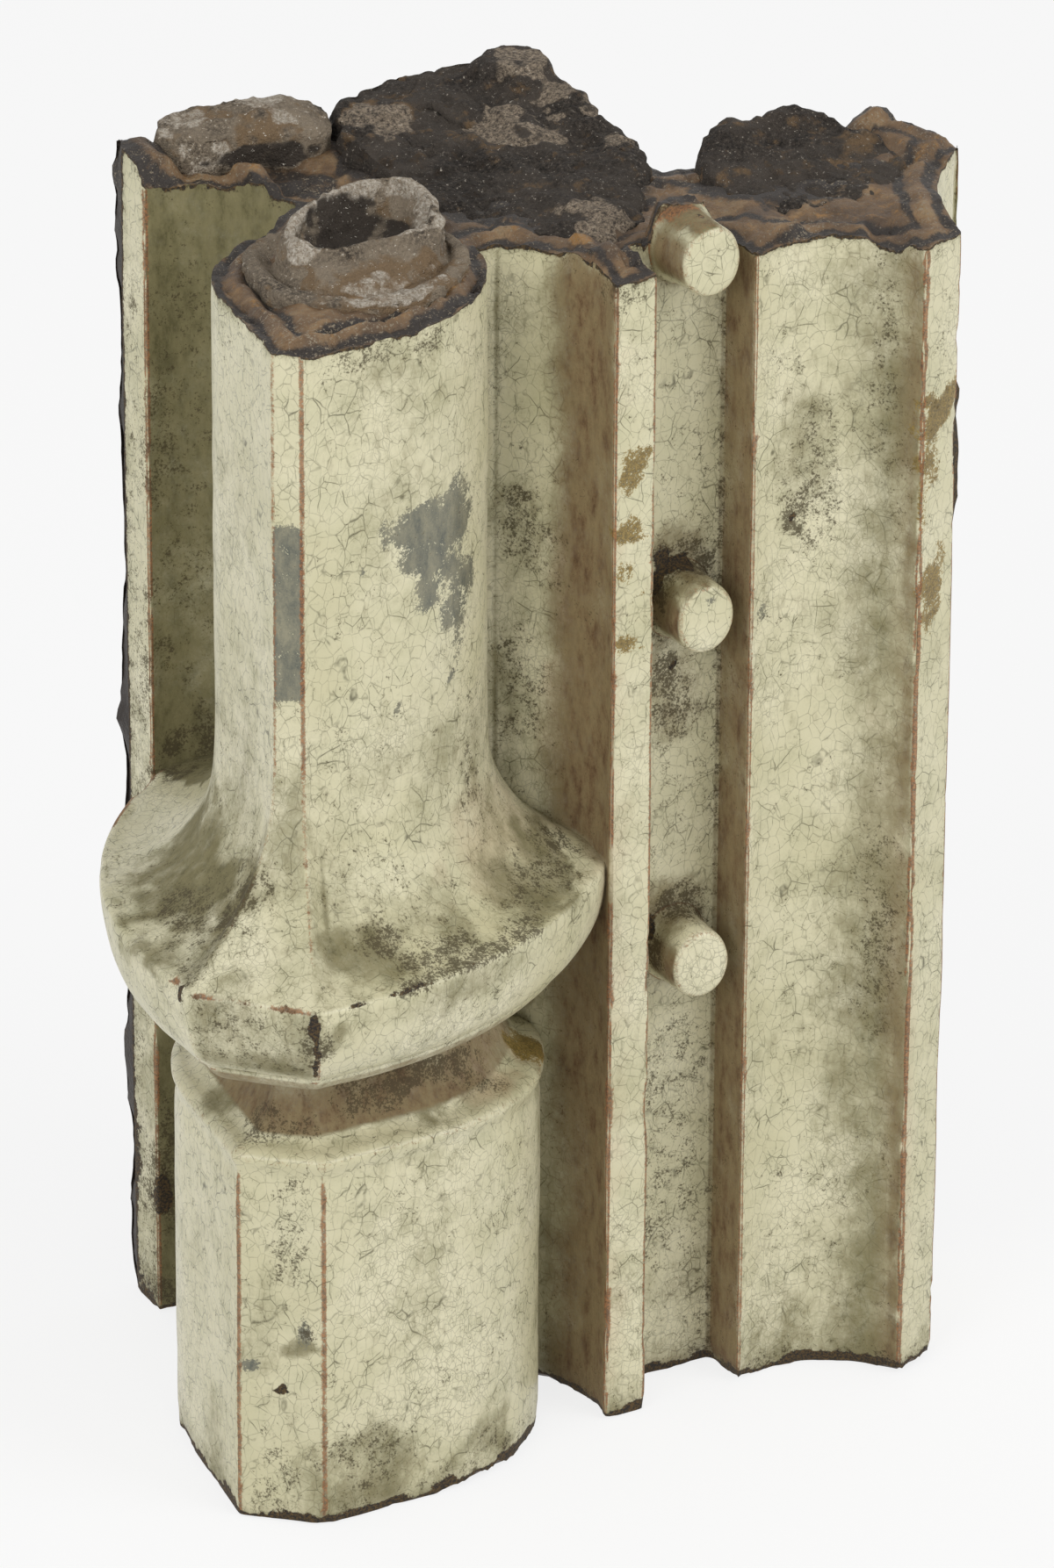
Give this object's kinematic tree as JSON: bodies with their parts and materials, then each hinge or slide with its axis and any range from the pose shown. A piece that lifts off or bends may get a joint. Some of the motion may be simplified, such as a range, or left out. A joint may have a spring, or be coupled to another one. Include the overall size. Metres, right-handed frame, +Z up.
{
  "type": "pilaster section",
  "caption": "Glazed terracotta block of a Gothic pilaster: a rounded shaft on a moulded base, coves and a studded channel beside it, with old mortar in its cells.",
  "frame": {"origin": "middle of the plan's bounding box, on the lower bed", "axes": "+Z up along the shaft, -Y towards the front of the shaft and the channel, +X towards the wing"},
  "size_m": [0.3962, 0.259, 0.5304],
  "materials": {
    "glazed_terracotta": "crackled cream glaze on fired clay",
    "pale_mortar": "rough lime mortar",
    "dark_mortar": "rough sooty mortar"
  },
  "bodies": {
    "root": {"terracotta_block": "glazed_terracotta", "shaft_mortar": "pale_mortar", "pale_bed_mortar": "pale_mortar", "body_mortar": "dark_mortar", "wing_mortar": "dark_mortar"}
  },
  "joints": []
}
